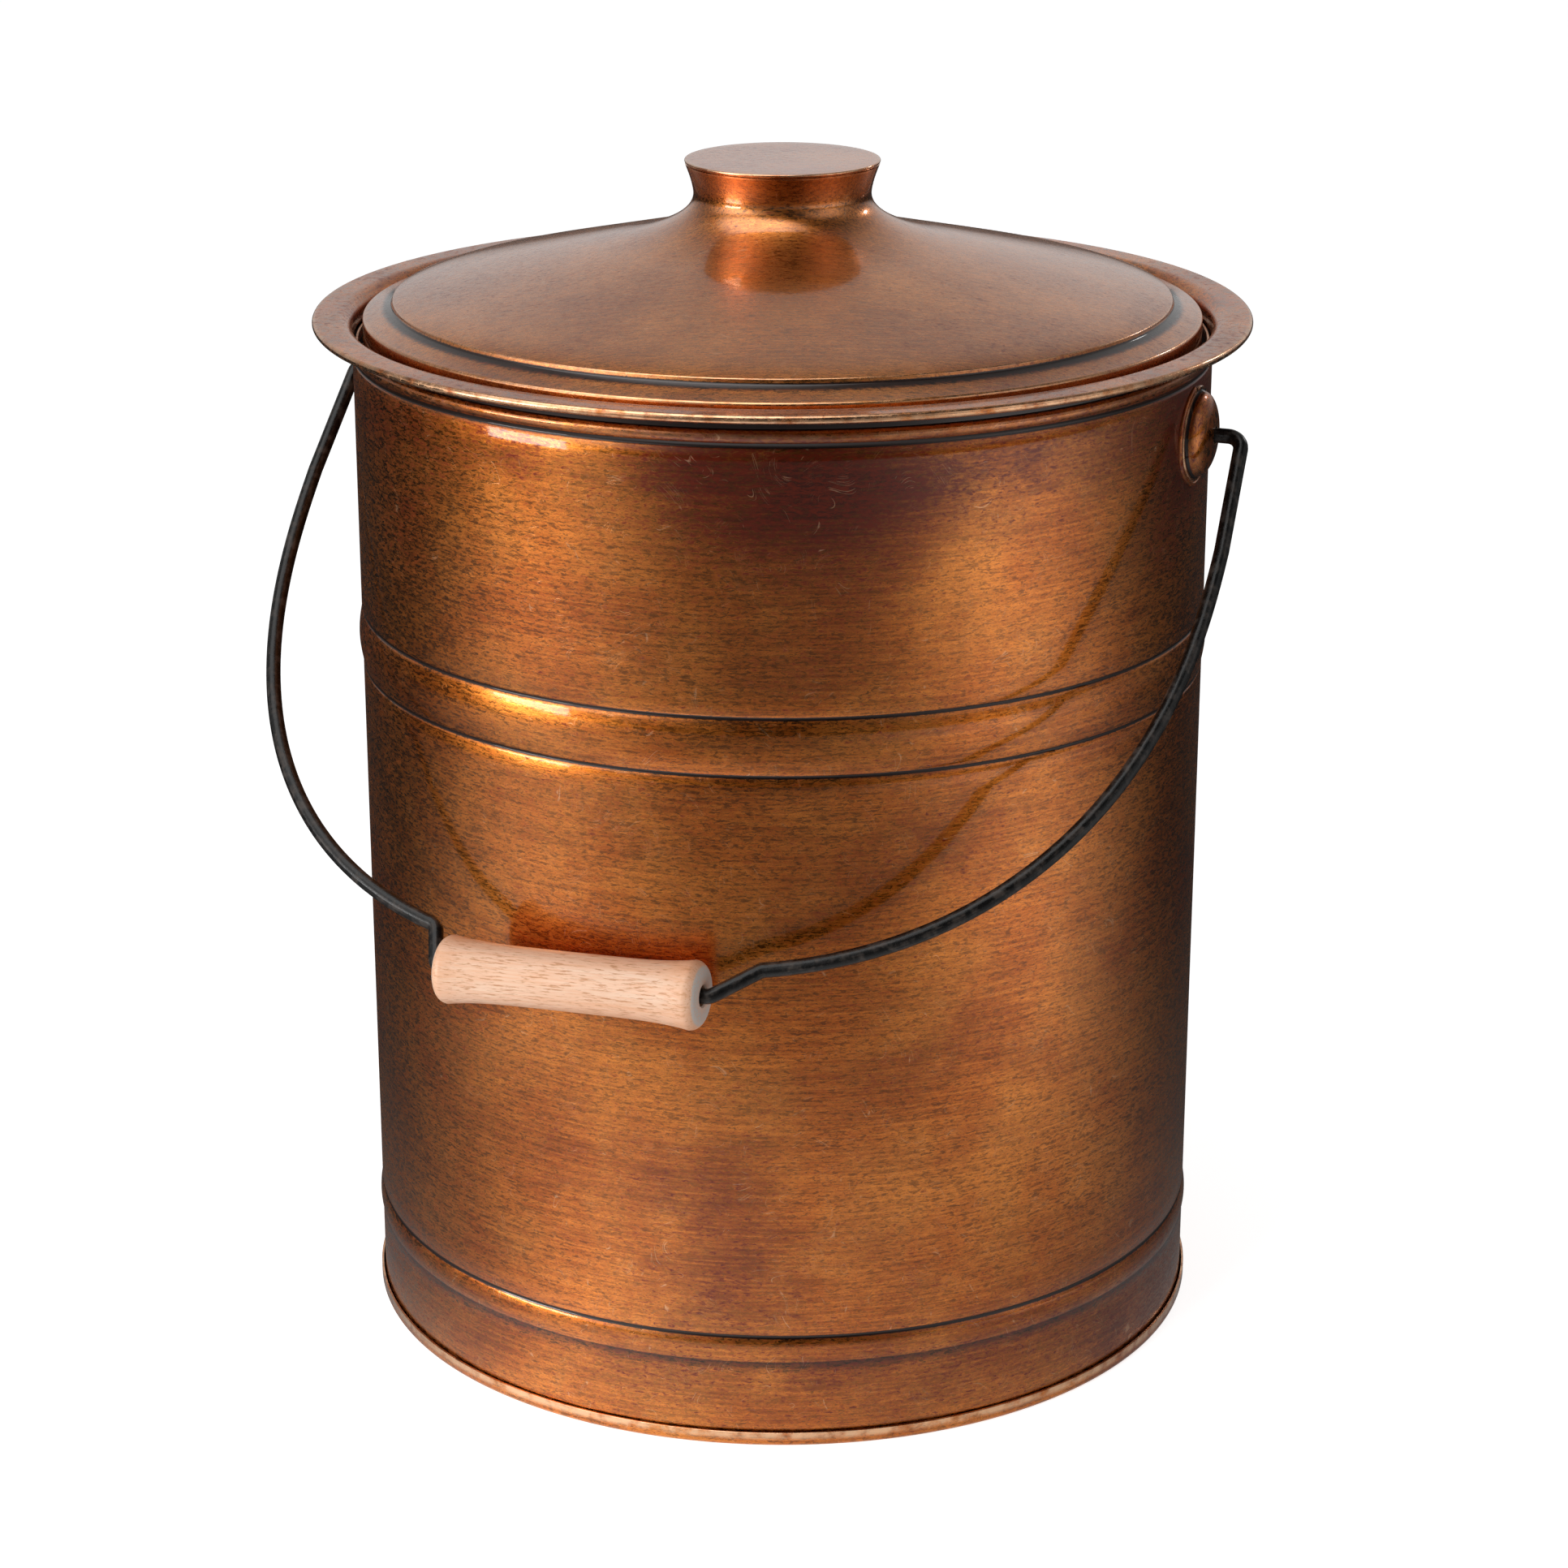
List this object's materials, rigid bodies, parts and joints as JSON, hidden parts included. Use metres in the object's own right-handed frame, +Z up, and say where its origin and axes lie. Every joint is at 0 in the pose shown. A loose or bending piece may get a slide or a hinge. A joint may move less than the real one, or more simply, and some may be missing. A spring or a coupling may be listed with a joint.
{
  "type": "lidded bucket with bail handle",
  "caption": "Cylindrical sheet-metal bucket with a recessed domed lid, hollow knob, rolled rim and a swinging wire bail with a turned wooden grip.",
  "frame": {"origin": "centre of the underside of the outer bottom, on the surface the bucket stands on", "axes": "+Z up along the bucket's axis, X along the bail's pivot axis, and the bail hangs on the -Y side at rest"},
  "size_m": [0.3344, 0.3303, 0.4079],
  "materials": {
    "copper_body": "antiqued copper plate on steel, brushed round the body, satin lacquer, dark mottling",
    "copper_inside": "dull copper plate on steel",
    "copper_ear": "antiqued copper plate on pressed steel, dark in the hollows",
    "copper_lid": "antiqued copper plate on steel, spun, satin",
    "plain_steel": "plain sheet and wire, dull",
    "black_wire": "black satin coat on round wire",
    "beech": "pale turned beech, short flecks along the grain, thin varnish"
  },
  "bodies": {
    "bucket": {"body_shell": "copper_body", "rim_wire": "plain_steel", "lid_seat_ring": "copper_inside", "inner_bottom": "plain_steel", "outer_bottom": "copper_body", "ear_left": "copper_ear", "ear_right": "copper_ear"},
    "lid": {"lid_shell": "copper_lid", "knob_cap": "copper_lid"},
    "bail": {"bail_wire": "black_wire"},
    "grip": {"grip": "beech"}
  },
  "joints": [
    {"name": "bail_swing", "type": "hinge", "parent": "bucket", "child": "bail", "pos_m": [0, 0, 0.3253], "axis": [-1, 0, 0], "range_deg": [0, 270.3]},
    {"name": "grip_spin", "type": "hinge", "parent": "bail", "child": "grip", "pos_m": [-0.0128, -0.15832, 0.16605], "axis": [0.9994, 0.0254, 0.0255], "continuous": true},
    {"name": "lid_lift", "type": "slide", "parent": "bucket", "child": "lid", "axis": [0, 0, 1], "range_m": [0, 0.25]}
  ]
}
